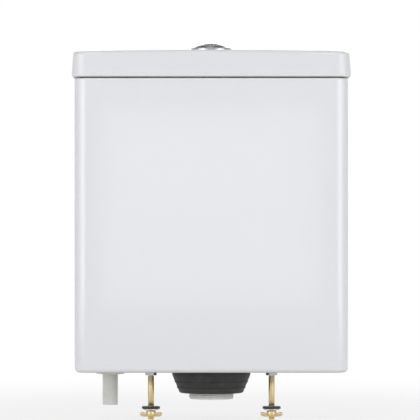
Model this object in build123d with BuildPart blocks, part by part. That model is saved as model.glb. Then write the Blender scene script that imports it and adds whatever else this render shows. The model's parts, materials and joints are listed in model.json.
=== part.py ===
from build123d import *
import os
from math import cos, degrees, sin, sqrt

# Close-coupled toilet cistern with a dual flush valve and a bottom entry fill valve.
# Millimetres. +X points right seen from the front, -Y is the front, +Z is up.
# The origin is on the flush outlet's axis, at the level of the tank's foot rim.

# Clearances and overruns
cut_overrun = 4.0
part_clearance = 0.3
push_fit = 0.1
hinge_fit = 0.05

# Tank
tank_width = 357.0
tank_depth = 160.0
tank_height = 384.0
tank_wall = 9.0
tank_floor = 10.0
foot_recess = 4.0
foot_rim = 22.0
front_corner_radius = 18.0
rear_corner_radius = 10.0
inner_corner_radius = 9.0
foot_rounding = 6.0
rim_rounding = 2.0
wall_screw_radius = 4.0
wall_screw_spacing = 140.0
wall_screw_drop = 54.0

# Lid
lid_gap = 1.5
lid_overhang = 4.0
lid_back_setback = 0.5
lid_height = 33.0
lid_crown = 2.0
lid_wall = 11.0
lid_top_thickness = 10.0
lid_draft = 4.0
lid_top_rounding = 4.0
lid_foot_rounding = 3.0
lug_length = 30.0
lug_thickness = 7.0
lug_reach = 6.0
lug_clearance = 2.5
lug_spacing = 80.0
pad_width = 3.0
pad_length = 20.0
pad_spacing = 90.0

# Push button set
dome_radius = 46.0
dome_height = 13.8
bezel_radius = 26.5
bezel_edge_rounding = 0.8
bezel_floor = 1.2
button_radius = 20.8
button_edge = 3.0
button_travel = 4.5
button_gap = 0.4
button_split = 3.0
rod_spacing = 20.0
barrel_radius = 19.5
barrel_wall = 2.3
barrel_length = 30.0
barrel_lip = 1.7
lid_hole_clearance = 1.0
guide_depth = 17.0
guide_thickness = 6.0
stem_radius = 3.5
stem_length = 24.0
rod_radius = 2.0
rod_engagement = 14.0
ball_radius = 3.0
spring_wire_radius = 0.5
spring_radius = 5.2
spring_curls = 5
gasket_thickness = 2.0
gasket_radius = 28.0
bezel_nut_radius = 27.0
bezel_nut_height = 8.0
bezel_nut_wing = 6.0
bezel_nut_wing_width = 8.0

# Flush valve seat and its fixing
outlet_radius = 29.8
outlet_bore_radius = 24.5
outlet_length = 38.0
outlet_hole_clearance = 2.7
outlet_chamfer = 1.5
throat_step = 1.0
throat_depth = 4.0
seat_flange_radius = 45.0
seat_flange_thickness = 5.0
seat_washer_thickness = 3.0
seat_lip_height = 6.0
seat_lip_width = 3.0
backnut_thickness = 10.0
backnut_radius = 39.0
backnut_lug = 3.0
backnut_lug_width = 10.0
backnut_lugs = 8
doughnut_radius = 52.0
doughnut_foot_radius = 42.0
doughnut_depth = 30.0
doughnut_cover = 7.0

# Flush valve tower
cage_radius = 41.0
cage_ring_width = 7.0
cage_ring_height = 6.0
cage_base_rise = 10.0
post_width = 12.0
column_size = 9.0
cage_height = 148.0
float_shelf_rise = 78.0
float_shelf_radius = 20.0
socket_depth = 30.0
leg_size = 6.0
leg_clearance = 0.2
tube_guide_clearance = 1.0
head_rise = 8.0
head_thickness = 5.0
head_bore_clearance = 2.0

# Overflow tube, seal and floats
tube_radius = 15.0
tube_wall = 2.0
overflow_height = 262.0
tube_foot_drop = 4.0
carrier_radius = 30.0
carrier_thickness = 3.0
seal_thickness = 2.5
seal_radius = 31.0
retainer_width = 6.4
float_radius = 29.0
float_wall = 1.5
full_float_height = 40.0
full_float_rise = 33.0
half_float_height = 30.0

# Flush levers
lever_half_thickness = 2.0
lever_width = 10.0
lever_arm_in = 10.0
lever_arm_out = 24.0
lever_pad = 3.0
lever_boss_radius = 4.0
lever_pin_radius = 1.5
lever_play = 0.5
pivot_rise = 14.0
ear_thickness = 3.5
ear_width = 7.0
ear_top = 4.0
yoke_width = 8.0
yoke_thickness = 3.0
yoke_clearance = 1.5
yoke_arm_height = 6.0
yoke_drop = 24.0
yoke_collar = 3.0
hook_reach = 10.5

# Fill valve
fill_wall_gap = 7.5
inlet_radius = 10.48
inlet_neck_radius = 10.2
inlet_length = 46.0
inlet_bore_radius = 5.5
inlet_hole_radius = 11.5
inlet_chamfer = 1.0
neck_margin = 1.5
fill_flange_radius = 19.0
fill_flange_thickness = 4.0
fill_washer_thickness = 3.0
fill_washer_radius = 18.0
fill_backnut_flats = 32.0
fill_backnut_thickness = 9.0
socket_radius = 12.0
socket_height = 50.0
riser_radius = 9.5
riser_wall = 2.5
riser_seat = 24.0
riser_height = 262.0
riser_stop_radius = 14.0
riser_stop_height = 4.0
riser_stop_level = 186.0
fill_head_radius = 16.0
fill_head_height = 30.0
fill_head_grip = 12.0
fill_chamber_radius = 11.0
fill_chamber_depth = 10.0
diaphragm_radius = 14.0
diaphragm_thickness = 2.0
cap_radius = 19.0
cap_skirt = 10.0
cap_thickness = 8.0
pilot_radius = 3.0
pilot_height = 1.0
spout_radius = 5.0
spout_length = 60.0
spout_wall = 1.4
spout_clearance = 2.0
filter_wall = 1.0
filter_length = 12.0

# Fill valve float and lever
fill_float_radius = 28.0
fill_float_height = 45.0
fill_float_wall = 1.8
fill_float_bore_clearance = 1.3
fill_float_ear_height = 6.0
fill_float_ear_width = 10.0
fill_float_travel = 8.0
fill_rod_offset = 36.0
fill_rod_radius = 1.3
fill_rod_head_radius = 3.0
fill_rod_head_height = 2.0
fill_rod_edge = 4.0
fill_clip_radius = 4.5
fill_clip_height = 5.0
fill_pivot_offset = 14.0
fill_pivot_rise = 6.0
fill_lever_half_thickness = 1.5
fill_lever_width = 8.0
fill_lever_tail = 3.0
fill_lever_weight_length = 9.0
fill_lever_weight_height = 6.5
fill_lever_boss_radius = 3.0
fill_lever_pin_radius = 1.2
fill_lever_slot = 5.0
fill_lever_play = 0.3
fill_ear_thickness = 3.0
fill_ear_width = 6.0
fill_ear_top = 3.5
fill_ear_clearance = 0.5

# Coupling bolts
bolt_radius = 4.0
bolt_neck_radius = 3.4
bolt_hole_radius = 6.0
bolt_length_below = 66.0
bolt_head_flats = 13.0
bolt_head_height = 5.3
bolt_tip_chamfer = 1.0
bolt_neck_margin = 1.0
cone_radius = 14.0
cone_top_radius = 11.0
cone_height = 7.0
steel_washer_radius = 10.0
steel_washer_thickness = 1.6
rubber_washer_radius = 12.0
rubber_washer_thickness = 3.0
nut_flats = 13.0
nut_height = 6.5
wing_nut_setback = 4.0
wing_nut_height = 9.0
wing_hub_radius = 6.5
wing_span = 30.0
wing_thickness = 3.0
wing_rise = 5.0
wing_rounding = 1.2

# Levels and places worked out from the sizes above
tank_front = -tank_depth / 2
tank_back = tank_depth / 2
floor_top = foot_recess + tank_floor
inner_half_width = tank_width / 2 - tank_wall

lid_base = tank_height + lid_gap
lid_width = tank_width + 2 * lid_overhang
lid_front = tank_front - lid_overhang
lid_back = tank_back - lid_back_setback
lid_top = lid_base + lid_height + lid_crown
lid_ceiling = lid_base + lid_height - lid_top_thickness

seat_bottom = floor_top + seat_washer_thickness
seat_top = seat_bottom + seat_flange_thickness
lip_top = seat_top + seat_lip_height
cage_base = seat_top + cage_base_rise
cage_top = cage_base + cage_height
column_place = cage_radius - column_size / 2
shelf_top = cage_base + float_shelf_rise + cage_ring_height

carrier_bottom = lip_top + seal_thickness
tube_bottom = lip_top - tube_foot_drop
full_float_bottom = seat_top + full_float_rise
half_float_bottom = shelf_top + part_clearance
half_float_top = half_float_bottom + half_float_height

head_bottom = overflow_height + head_rise
head_top = head_bottom + head_thickness
pivot_level = head_top + pivot_rise
pivot_place = rod_spacing / 2 + lever_arm_in
lever_turn = button_travel / lever_arm_in
valve_lift = lever_arm_out * sin(lever_turn)
lever_reach = pivot_place + lever_arm_out
strap_inner = lever_reach + lever_half_thickness + yoke_clearance
strap_outer = strap_inner + yoke_thickness
hook_bottom = pivot_level + lever_half_thickness + lever_play
yoke_arm_top = overflow_height - yoke_drop + yoke_arm_height

recess_radius = button_radius + part_clearance
barrel_bore_radius = barrel_radius - barrel_wall
guide_top = lid_top - guide_depth + guide_thickness
guide_bottom = lid_top - guide_depth
stem_bottom = lid_top - stem_length
ball_level = pivot_level + lever_half_thickness + ball_radius + lever_play
lid_hole_radius = barrel_radius + lid_hole_clearance
gasket_bottom = lid_ceiling - gasket_thickness
bezel_nut_bottom = gasket_bottom - bezel_nut_height

fill_washer_top = floor_top + fill_washer_thickness
fill_flange_top = fill_washer_top + fill_flange_thickness
socket_top = fill_flange_top + socket_height
riser_bottom = socket_top - riser_seat
fill_head_bottom = riser_height - fill_head_grip
fill_head_top = fill_head_bottom + fill_head_height
cap_top = fill_head_top + cap_thickness
fill_pivot_level = cap_top + fill_pivot_rise
fill_offset = inner_half_width - fill_wall_gap - fill_float_radius
fill_arm = fill_rod_offset - fill_pivot_offset
spout_offset = fill_float_radius + spout_radius + spout_clearance
fill_tilt = fill_float_travel / fill_arm / 2
fill_float_bottom = riser_stop_level + riser_stop_height + part_clearance
fill_float_top_level = fill_float_bottom + fill_float_height
fill_backnut_bottom = foot_recess - fill_backnut_thickness
fill_rod_slot_level = fill_pivot_level - fill_arm * sin(fill_tilt)
fill_rod_slot_half = (
    fill_lever_half_thickness / cos(fill_tilt)
    + fill_rod_head_radius * sin(fill_tilt)
    + fill_lever_play
)

pan_bolt_spacing = fill_offset - fill_flange_radius + seat_flange_radius
upper_stack = floor_top + cone_height
lower_rubber_bottom = foot_recess - rubber_washer_thickness
lower_steel_bottom = lower_rubber_bottom - steel_washer_thickness
nut_bottom = lower_steel_bottom - nut_height
bolt_bottom = -bolt_length_below
wing_nut_bottom = bolt_bottom + wing_nut_setback
wing_nut_top = wing_nut_bottom + wing_nut_height
end_steel_top = wing_nut_top + steel_washer_thickness
end_rubber_top = end_steel_top + rubber_washer_thickness

bottom_up = (Align.CENTER, Align.CENTER, Align.MIN)
top_down = (Align.CENTER, Align.CENTER, Align.MAX)
leftward = (Align.MAX, Align.CENTER, Align.MIN)
rearward = (Align.CENTER, Align.MIN, Align.MIN)

os.makedirs("parts", exist_ok=True)


def plan_outline(width, front, back, front_radius, back_radius):
    """Plan of the tank or lid: a rectangle whose front and back corners differ."""
    with BuildSketch() as plan:
        with Locations((0, (front + back) / 2)):
            Rectangle(width, back - front)
        fillet(plan.vertices().group_by(Axis.Y)[0], front_radius)
        fillet(plan.vertices().group_by(Axis.Y)[-1], back_radius)
    return plan.sketch


def dome_level(radius):
    """Height of the button dome's surface at a radius from its centre."""
    return lid_top + dome_height - dome_radius + sqrt(dome_radius**2 - radius**2)


def save(part, name):
    """Label a finished piece and write its STEP file."""
    part.label = name
    export_step(part, "parts/" + name + ".step")


def ring(outer_radius, inner_radius, bottom, top, place=(0, 0)):
    """A plain ring standing on a level, such as a washer or a gasket."""
    with BuildPart() as piece:
        with BuildSketch(Plane.XY.offset(bottom)):
            with Locations(place):
                Circle(outer_radius)
                Circle(inner_radius, mode=Mode.SUBTRACT)
        extrude(amount=top - bottom)
    return piece.part


def hex_nut(flats, hole_radius, bottom, top, place=(0, 0)):
    """A hexagonal nut with its corners eased."""
    with BuildPart() as piece:
        with BuildSketch(Plane.XY.offset(bottom)):
            with Locations(place):
                RegularPolygon(flats / 2, 6, major_radius=False)
                Circle(hole_radius, mode=Mode.SUBTRACT)
        extrude(amount=top - bottom)
    return piece.part


# Tank: one glazed box, open at the top, on a foot rim
with BuildPart() as tank:
    with BuildSketch():
        add(plan_outline(tank_width, tank_front, tank_back, front_corner_radius, rear_corner_radius))
    extrude(amount=tank_height)
    fillet(tank.faces().sort_by(Axis.Z)[0].edges(), foot_rounding)
    with BuildSketch(Plane.XY.offset(floor_top)):
        add(
            plan_outline(
                tank_width - 2 * tank_wall,
                tank_front + tank_wall,
                tank_back - tank_wall,
                inner_corner_radius,
                inner_corner_radius,
            )
        )
    extrude(amount=tank_height - floor_top + cut_overrun, mode=Mode.SUBTRACT)
    fillet(tank.faces().filter_by(Axis.Z).sort_by(Axis.Z)[-1].edges(), rim_rounding)
    with BuildSketch():
        add(
            plan_outline(
                tank_width - 2 * foot_rim,
                tank_front + foot_rim,
                tank_back - foot_rim,
                inner_corner_radius,
                inner_corner_radius,
            )
        )
    extrude(amount=foot_recess, mode=Mode.SUBTRACT)
    with Locations((0, 0, floor_top)):
        Hole(outlet_radius + outlet_hole_clearance, depth=floor_top)
    with Locations((-fill_offset, 0, floor_top)):
        Hole(inlet_hole_radius, depth=floor_top)
    with Locations((0, 0, floor_top)):
        with GridLocations(pan_bolt_spacing, 0, 2, 1):
            Hole(bolt_hole_radius, depth=floor_top)
    rear_face = Plane((0, tank_back, tank_height - wall_screw_drop), z_dir=(0, 1, 0), x_dir=(1, 0, 0))
    with Locations(rear_face):
        with GridLocations(wall_screw_spacing, 0, 2, 1):
            Hole(wall_screw_radius, depth=tank_wall + cut_overrun)
save(tank.part, "tank")

# Lid: crowned, drafted cover with a hollow underside and four locating lugs
with BuildPart() as lid:
    with BuildSketch(Plane.XY.offset(lid_base)):
        add(
            plan_outline(
                lid_width,
                lid_front,
                lid_back,
                front_corner_radius + lid_overhang,
                rear_corner_radius + lid_overhang,
            )
        )
    extrude(amount=lid_height + lid_crown, taper=lid_draft)
    with BuildSketch(Plane.XZ) as above_crown:
        with BuildLine():
            ThreePointArc(
                (-lid_width / 2, lid_base + lid_height),
                (0, lid_top),
                (lid_width / 2, lid_base + lid_height),
            )
            Polyline(
                (lid_width / 2, lid_base + lid_height),
                (lid_width / 2, lid_top + cut_overrun),
                (-lid_width / 2, lid_top + cut_overrun),
                (-lid_width / 2, lid_base + lid_height),
            )
        make_face()
    extrude(amount=tank_depth, both=True, mode=Mode.SUBTRACT)
    fillet(lid.faces().sort_by(Axis.Z)[-1].edges(), lid_top_rounding)
    fillet(lid.faces().sort_by(Axis.Z)[0].edges(), lid_foot_rounding)
    with BuildSketch(Plane.XY.offset(lid_base)):
        add(
            plan_outline(
                lid_width - 2 * lid_wall,
                lid_front + lid_wall,
                lid_back - lid_wall,
                front_corner_radius + lid_overhang - lid_wall,
                rear_corner_radius,
            )
        )
    extrude(amount=lid_ceiling - lid_base, taper=lid_draft, mode=Mode.SUBTRACT)
    with Locations((0, 0, lid_top)):
        Hole(lid_hole_radius, depth=lid_height + lid_crown)
    lug_place = 2 * (inner_half_width - lug_clearance) - lug_thickness
    with Locations((0, 0, lid_ceiling)):
        with GridLocations(lug_place, lug_spacing, 2, 2):
            Box(lug_thickness, lug_length, lid_ceiling - tank_height + lug_reach, align=top_down)
save(lid.part, "lid")

# Lid pads: four thin buffers that hold the lid off the tank's rim
with BuildPart() as lid_pads:
    with Locations((0, 0, tank_height)):
        with GridLocations(tank_width - tank_wall, pad_spacing, 2, 2):
            Box(pad_width, pad_length, lid_gap, align=bottom_up)
save(lid_pads.part, "lid_pads")

# Bezel: domed chrome ring with a recess for the buttons and a barrel through the lid
with BuildPart() as button_bezel:
    with BuildSketch(Plane.XZ) as bezel_section:
        with BuildLine():
            middle_radius = (bezel_radius + recess_radius) / 2
            ThreePointArc(
                (recess_radius, dome_level(recess_radius)),
                (middle_radius, dome_level(middle_radius)),
                (bezel_radius, dome_level(bezel_radius)),
            )
            Polyline(
                (bezel_radius, dome_level(bezel_radius)),
                (bezel_radius, lid_top),
                (barrel_radius, lid_top),
                (barrel_radius, lid_top - barrel_length),
                (barrel_bore_radius - barrel_lip, lid_top - barrel_length),
                (barrel_bore_radius - barrel_lip, guide_bottom),
                (barrel_bore_radius, guide_bottom),
                (barrel_bore_radius, lid_top + bezel_floor),
                (recess_radius, lid_top + bezel_floor),
                (recess_radius, dome_level(recess_radius)),
            )
        make_face()
        outer_corners = bezel_section.vertices().group_by(Axis.X)[-1]
        fillet(outer_corners.sort_by(Axis.Y)[-1], bezel_edge_rounding)
    revolve(axis=Axis.Z)
save(button_bezel.part, "button_bezel")

# Gasket and nut that clamp the bezel under the lid
save(ring(gasket_radius, barrel_radius + part_clearance, gasket_bottom, lid_ceiling), "bezel_gasket")
with BuildPart() as bezel_nut:
    with BuildSketch(Plane.XY.offset(bezel_nut_bottom)):
        Circle(bezel_nut_radius)
        with PolarLocations(bezel_nut_radius, 4):
            Rectangle(2 * bezel_nut_wing, bezel_nut_wing_width)
        Circle(barrel_radius + push_fit, mode=Mode.SUBTRACT)
    extrude(amount=bezel_nut_height)
save(bezel_nut.part, "bezel_nut")

# Guide: a disc in the barrel that both button stems slide through
with BuildPart() as button_guide:
    with BuildSketch(Plane.XY.offset(guide_bottom)):
        Circle(barrel_bore_radius - push_fit)
        with GridLocations(rod_spacing, 0, 2, 1):
            Circle(stem_radius + part_clearance, mode=Mode.SUBTRACT)
    extrude(amount=guide_thickness)
save(button_guide.part, "button_guide")

button_underside = dome_level(button_radius) - button_edge


def flush_button(side, inner_edge):
    """One half of the split dome, on its stem. side is -1 for the left half and 1 for the right."""
    with BuildPart() as piece:
        with BuildSketch(Plane.XZ):
            with BuildLine():
                ThreePointArc(
                    (0, lid_top + dome_height),
                    (button_radius / 2, dome_level(button_radius / 2)),
                    (button_radius, dome_level(button_radius)),
                )
                Polyline(
                    (button_radius, dome_level(button_radius)),
                    (button_radius, button_underside),
                    (0, button_underside),
                    (0, lid_top + dome_height),
                )
            make_face()
        revolve(axis=Axis.Z)
        split(
            bisect_by=Plane.YZ.offset(inner_edge),
            keep=Keep.BOTTOM if side < 0 else Keep.TOP,
        )
        with Locations((side * rod_spacing / 2, 0, stem_bottom)):
            Cylinder(stem_radius, button_underside - stem_bottom, align=bottom_up)
            Cylinder(
                rod_radius + push_fit,
                rod_engagement,
                align=bottom_up,
                mode=Mode.SUBTRACT,
            )
    return piece.part


def push_rod(side):
    """Rod pushed into a button's stem, with a ball end that presses its lever."""
    with BuildPart() as piece:
        with Locations((side * rod_spacing / 2, 0, ball_level)):
            Cylinder(rod_radius, stem_bottom + rod_engagement - ball_level, align=bottom_up)
            Sphere(ball_radius)
    return piece.part


def button_spring(side):
    """Helical spring around a button's stem, between the guide and the button."""
    foot = guide_top + part_clearance + spring_wire_radius
    height = button_underside - part_clearance - spring_wire_radius - foot
    with BuildPart() as piece:
        with BuildLine() as path:
            Helix(height / spring_curls, height, spring_radius, center=(side * rod_spacing / 2, 0, foot))
        with BuildSketch(Plane(path.line @ 0, z_dir=path.line % 0)):
            Circle(spring_wire_radius)
        sweep()
    return piece.part


save(flush_button(-1, button_split - button_gap / 2), "full_flush_button")
save(flush_button(1, button_split + button_gap / 2), "half_flush_button")
save(push_rod(-1), "full_push_rod")
save(push_rod(1), "half_push_rod")
save(button_spring(-1), "full_button_spring")
save(button_spring(1), "half_button_spring")

# Valve seat: threaded tail through the floor, flange, sealing lip and the ring that holds the cage
with BuildPart() as valve_seat:
    with BuildSketch(Plane.XZ):
        with BuildLine():
            throat_bottom = seat_top - throat_depth
            lip_bore_radius = outlet_bore_radius + throat_step
            Polyline(
                (outlet_bore_radius, -outlet_length),
                (outlet_radius - outlet_chamfer, -outlet_length),
                (outlet_radius, -outlet_length + outlet_chamfer),
                (outlet_radius, seat_bottom),
                (seat_flange_radius, seat_bottom),
                (seat_flange_radius, seat_top),
                (lip_bore_radius + seat_lip_width, seat_top),
                (lip_bore_radius + seat_lip_width, lip_top),
                (lip_bore_radius, lip_top),
                (lip_bore_radius, throat_bottom),
                (outlet_bore_radius, throat_bottom),
                close=True,
            )
        make_face()
    revolve(axis=Axis.Z)
    with Locations((0, 0, seat_top)):
        with PolarLocations(cage_radius - cage_ring_width / 2, 4, start_angle=45):
            Box(cage_ring_width - push_fit, post_width, cage_base_rise, align=bottom_up)
    with BuildSketch(Plane.XY.offset(lip_top)):
        Circle(cage_radius)
        Circle(cage_radius - cage_ring_width, mode=Mode.SUBTRACT)
    extrude(amount=cage_base - lip_top)
save(valve_seat.part, "valve_seat")

save(ring(seat_flange_radius, outlet_radius + part_clearance, floor_top, seat_bottom), "valve_washer")

# Back nut: ring with lugs that clamps the seat from below
with BuildPart() as valve_backnut:
    with BuildSketch(Plane.XY.offset(foot_recess - backnut_thickness)):
        Circle(backnut_radius)
        with PolarLocations(backnut_radius, backnut_lugs):
            Rectangle(2 * backnut_lug, backnut_lug_width)
        Circle(outlet_radius + push_fit, mode=Mode.SUBTRACT)
    extrude(amount=backnut_thickness)
save(valve_backnut.part, "valve_backnut")

# Doughnut washer: thick soft ring that covers the back nut and seals on the pan's inlet
with BuildPart() as doughnut_washer:
    with BuildSketch(Plane.XZ):
        with BuildLine():
            nut_bottom_level = foot_recess - backnut_thickness
            nut_pocket_radius = backnut_radius + 2 * backnut_lug
            Polyline(
                (outlet_radius + part_clearance, -doughnut_depth),
                (doughnut_foot_radius, -doughnut_depth),
                (doughnut_radius, nut_bottom_level),
                (doughnut_radius, nut_bottom_level + doughnut_cover),
                (nut_pocket_radius, nut_bottom_level + doughnut_cover),
                (nut_pocket_radius, nut_bottom_level - part_clearance),
                (outlet_radius + part_clearance, nut_bottom_level - part_clearance),
                close=True,
            )
        make_face()
    revolve(axis=Axis.Z)
save(doughnut_washer.part, "doughnut_washer")

# Cage: ring, four columns, the shelf of the half flush float and the tube's guide
with BuildPart() as valve_cage:
    for bottom, inner_radius in (
        (cage_base, cage_radius - cage_ring_width),
        (shelf_top - cage_ring_height, float_shelf_radius),
        (cage_top - cage_ring_height, tube_radius + tube_guide_clearance),
    ):
        with BuildSketch(Plane.XY.offset(bottom)):
            Circle(cage_radius)
            Circle(inner_radius, mode=Mode.SUBTRACT)
        extrude(amount=cage_ring_height)
    with Locations((0, 0, cage_base)):
        with PolarLocations(column_place, 4, start_angle=45):
            Box(column_size, column_size, cage_height, align=bottom_up)
    with Locations((0, 0, cage_top)):
        with PolarLocations(column_place, 4, start_angle=45):
            Box(
                leg_size + 2 * leg_clearance,
                leg_size + 2 * leg_clearance,
                socket_depth,
                align=top_down,
                mode=Mode.SUBTRACT,
            )
save(valve_cage.part, "valve_cage")

# Head: top ring on four legs that plug into the cage, with the ears of both levers
with BuildPart() as valve_head:
    with BuildSketch(Plane.XY.offset(head_bottom)):
        Circle(cage_radius)
        Circle(tube_radius + head_bore_clearance, mode=Mode.SUBTRACT)
    extrude(amount=head_thickness)
    leg_bottom = cage_top - socket_depth + part_clearance
    with Locations((0, 0, leg_bottom)):
        with PolarLocations(column_place, 4, start_angle=45):
            Box(leg_size, leg_size, head_top - leg_bottom, align=bottom_up)
    ear_place = lever_width + 2 * lever_play + ear_thickness
    with Locations((0, 0, head_bottom)):
        with GridLocations(2 * pivot_place, ear_place, 2, 2):
            Box(ear_width, ear_thickness, pivot_level + ear_top - head_bottom, align=bottom_up)
    with Locations(Plane.XZ.offset(-ear_place)):
        with Locations((-pivot_place, pivot_level), (pivot_place, pivot_level)):
            Hole(lever_pin_radius + hinge_fit, depth=2 * ear_place)
save(valve_head.part, "valve_head")

# Lever pins: one pin through each lever and its two ears
with BuildPart() as lever_pins:
    with BuildSketch(Plane.XZ):
        with Locations((-pivot_place, pivot_level), (pivot_place, pivot_level)):
            Circle(lever_pin_radius)
    extrude(amount=(ear_place + ear_thickness) / 2, both=True)
save(lever_pins.part, "lever_pins")


def flush_lever(side):
    """Rocking lever: the rod pushes its inner end down and its outer end lifts the hook."""
    inner_end = rod_spacing / 2 - lever_pad
    middle = side * (inner_end + lever_reach) / 2
    with BuildPart() as piece:
        with BuildSketch(Plane.XZ):
            with Locations((middle, pivot_level)):
                SlotCenterToCenter(lever_reach - inner_end, 2 * lever_half_thickness)
            with Locations((side * pivot_place, pivot_level)):
                Circle(lever_boss_radius)
                Circle(lever_pin_radius + hinge_fit, mode=Mode.SUBTRACT)
        extrude(amount=lever_width / 2, both=True)
        with Locations((side * rod_spacing / 2, 0, pivot_level + lever_half_thickness)):
            Box(
                2 * lever_boss_radius,
                lever_width,
                lever_boss_radius,
                align=bottom_up,
                mode=Mode.SUBTRACT,
            )
    return piece.part


save(flush_lever(-1), "full_flush_lever")
save(flush_lever(1), "half_flush_lever")

# Overflow tube: open tube with the flange that carries the seal
with BuildPart() as overflow_tube:
    with BuildSketch(Plane.XY.offset(tube_bottom)):
        Circle(tube_radius)
    extrude(amount=overflow_height - tube_bottom)
    with BuildSketch(Plane.XY.offset(carrier_bottom)):
        Circle(carrier_radius)
    extrude(amount=carrier_thickness)
    with Locations((0, 0, overflow_height)):
        Hole(tube_radius - tube_wall, depth=overflow_height - tube_bottom)
save(overflow_tube.part, "overflow_tube")

save(ring(seal_radius, tube_radius + push_fit, lip_top, carrier_bottom), "flush_seal")
save(
    ring(tube_radius + retainer_width, tube_radius + push_fit, tube_bottom, lip_top),
    "seal_retainer",
)


def cup_float(bore_radius, outer_radius, bottom, height, wall):
    """Ring-shaped float cup, closed on top and open below, around a tube."""
    with BuildPart() as piece:
        with BuildSketch(Plane.XY.offset(bottom)):
            Circle(outer_radius)
            Circle(bore_radius, mode=Mode.SUBTRACT)
        extrude(amount=height)
        with BuildSketch(Plane.XY.offset(bottom)):
            Circle(outer_radius - wall)
            Circle(bore_radius + wall, mode=Mode.SUBTRACT)
        extrude(amount=height - wall, mode=Mode.SUBTRACT)
    return piece.part


full_float = cup_float(tube_radius + push_fit, float_radius, full_float_bottom, full_float_height, float_wall)
half_float = cup_float(
    tube_radius + tube_guide_clearance, float_radius, half_float_bottom, half_float_height, float_wall
)
save(full_float, "full_flush_float")
save(half_float, "half_flush_float")

# Full lift yoke: collar on the tube, an arm between the columns and a strap hooked over its lever
with BuildPart() as full_lift_yoke:
    arm_bottom = yoke_arm_top - yoke_arm_height
    with BuildSketch(Plane.XY.offset(arm_bottom)):
        Circle(tube_radius + yoke_collar)
    extrude(amount=yoke_arm_height)
    with Locations((0, 0, arm_bottom)):
        Box(strap_outer, yoke_width, yoke_arm_height, align=leftward)
    with Locations((-strap_inner, 0, arm_bottom)):
        Box(yoke_thickness, yoke_width, hook_bottom + yoke_thickness - arm_bottom, align=leftward)
    with Locations((hook_reach - strap_outer, 0, hook_bottom)):
        Box(hook_reach, yoke_width, yoke_thickness, align=leftward)
    with Locations((0, 0, yoke_arm_top)):
        Hole(tube_radius + push_fit, depth=yoke_arm_height)
save(full_lift_yoke.part, "full_lift_yoke")

# Half lift yoke: arm on the half flush float and a strap hooked over its lever
with BuildPart() as half_lift_yoke:
    arm_inner = tube_radius + tube_guide_clearance + float_wall
    with Locations((strap_outer, 0, half_float_top)):
        Box(strap_outer - arm_inner, yoke_width, yoke_thickness, align=leftward)
        Box(yoke_thickness, yoke_width, hook_bottom + yoke_thickness - half_float_top, align=leftward)
    with Locations((strap_outer, 0, hook_bottom)):
        Box(hook_reach, yoke_width, yoke_thickness, align=leftward)
save(half_lift_yoke.part, "half_lift_yoke")

# Fill valve shank: threaded tail, flange on the floor and the socket of the riser
with BuildPart() as fill_shank:
    with BuildSketch(Plane((-fill_offset, 0, 0), z_dir=(0, -1, 0), x_dir=(1, 0, 0))):
        with BuildLine():
            neck_bottom = fill_backnut_bottom - neck_margin
            Polyline(
                (inlet_bore_radius, -inlet_length),
                (inlet_radius - inlet_chamfer, -inlet_length),
                (inlet_radius, -inlet_length + inlet_chamfer),
                (inlet_radius, neck_bottom),
                (inlet_neck_radius, neck_bottom),
                (inlet_neck_radius, fill_washer_top),
                (fill_flange_radius, fill_washer_top),
                (fill_flange_radius, fill_flange_top),
                (socket_radius, fill_flange_top),
                (socket_radius, socket_top),
                (riser_radius + push_fit, socket_top),
                (riser_radius + push_fit, riser_bottom),
                (inlet_bore_radius, riser_bottom),
                close=True,
            )
        make_face()
    revolve(axis=Axis((-fill_offset, 0, 0), (0, 0, 1)))
save(fill_shank.part, "fill_shank")

fill_place = (-fill_offset, 0)
save(
    ring(fill_washer_radius, inlet_neck_radius + part_clearance, floor_top, fill_washer_top, fill_place),
    "fill_washer",
)
save(
    hex_nut(
        fill_backnut_flats,
        inlet_neck_radius + push_fit,
        fill_backnut_bottom,
        foot_recess,
        fill_place,
    ),
    "fill_backnut",
)

# Inlet filter: small cup in the mouth of the tail
with BuildPart() as inlet_filter:
    with Locations((-fill_offset, 0, -inlet_length)):
        Cylinder(inlet_bore_radius - push_fit, filter_length, align=bottom_up)
        Cylinder(
            inlet_bore_radius - push_fit - filter_wall,
            filter_length - filter_wall,
            align=bottom_up,
            mode=Mode.SUBTRACT,
        )
save(inlet_filter.part, "inlet_filter")

# Riser: tube from the socket to the valve's head, with the stop that the float rests on
with BuildPart() as fill_riser:
    with Locations((-fill_offset, 0, riser_bottom)):
        Cylinder(riser_radius, riser_height - riser_bottom, align=bottom_up)
    with Locations((-fill_offset, 0, riser_stop_level)):
        Cylinder(riser_stop_radius, riser_stop_height, align=bottom_up)
    with Locations((-fill_offset, 0, riser_height)):
        Hole(riser_radius - riser_wall, depth=riser_height - riser_bottom)
save(fill_riser.part, "fill_riser")

# Head of the fill valve: socket on the riser, chamber under the diaphragm and the outlet arm
with BuildPart() as fill_head:
    with Locations((-fill_offset, 0, fill_head_bottom)):
        Cylinder(fill_head_radius, fill_head_height, align=bottom_up)
    with Locations((-fill_offset, spout_offset, fill_head_bottom)):
        Cylinder(spout_radius + spout_wall, fill_head_grip, align=bottom_up)
    with Locations((-fill_offset, 0, fill_head_bottom)):
        Box(2 * spout_radius, spout_offset, fill_head_grip, align=rearward)
        Cylinder(riser_radius + push_fit, fill_head_grip, align=bottom_up, mode=Mode.SUBTRACT)
        Cylinder(
            riser_radius - riser_wall,
            fill_head_height,
            align=bottom_up,
            mode=Mode.SUBTRACT,
        )
    with Locations((-fill_offset, 0, fill_head_top)):
        Cylinder(fill_chamber_radius, fill_chamber_depth, align=top_down, mode=Mode.SUBTRACT)
        Cylinder(diaphragm_radius, diaphragm_thickness, align=top_down, mode=Mode.SUBTRACT)
    with Locations((-fill_offset, spout_offset, fill_head_bottom)):
        Cylinder(
            spout_radius + push_fit,
            fill_head_grip - spout_wall,
            align=bottom_up,
            mode=Mode.SUBTRACT,
        )
save(fill_head.part, "fill_head")

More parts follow.
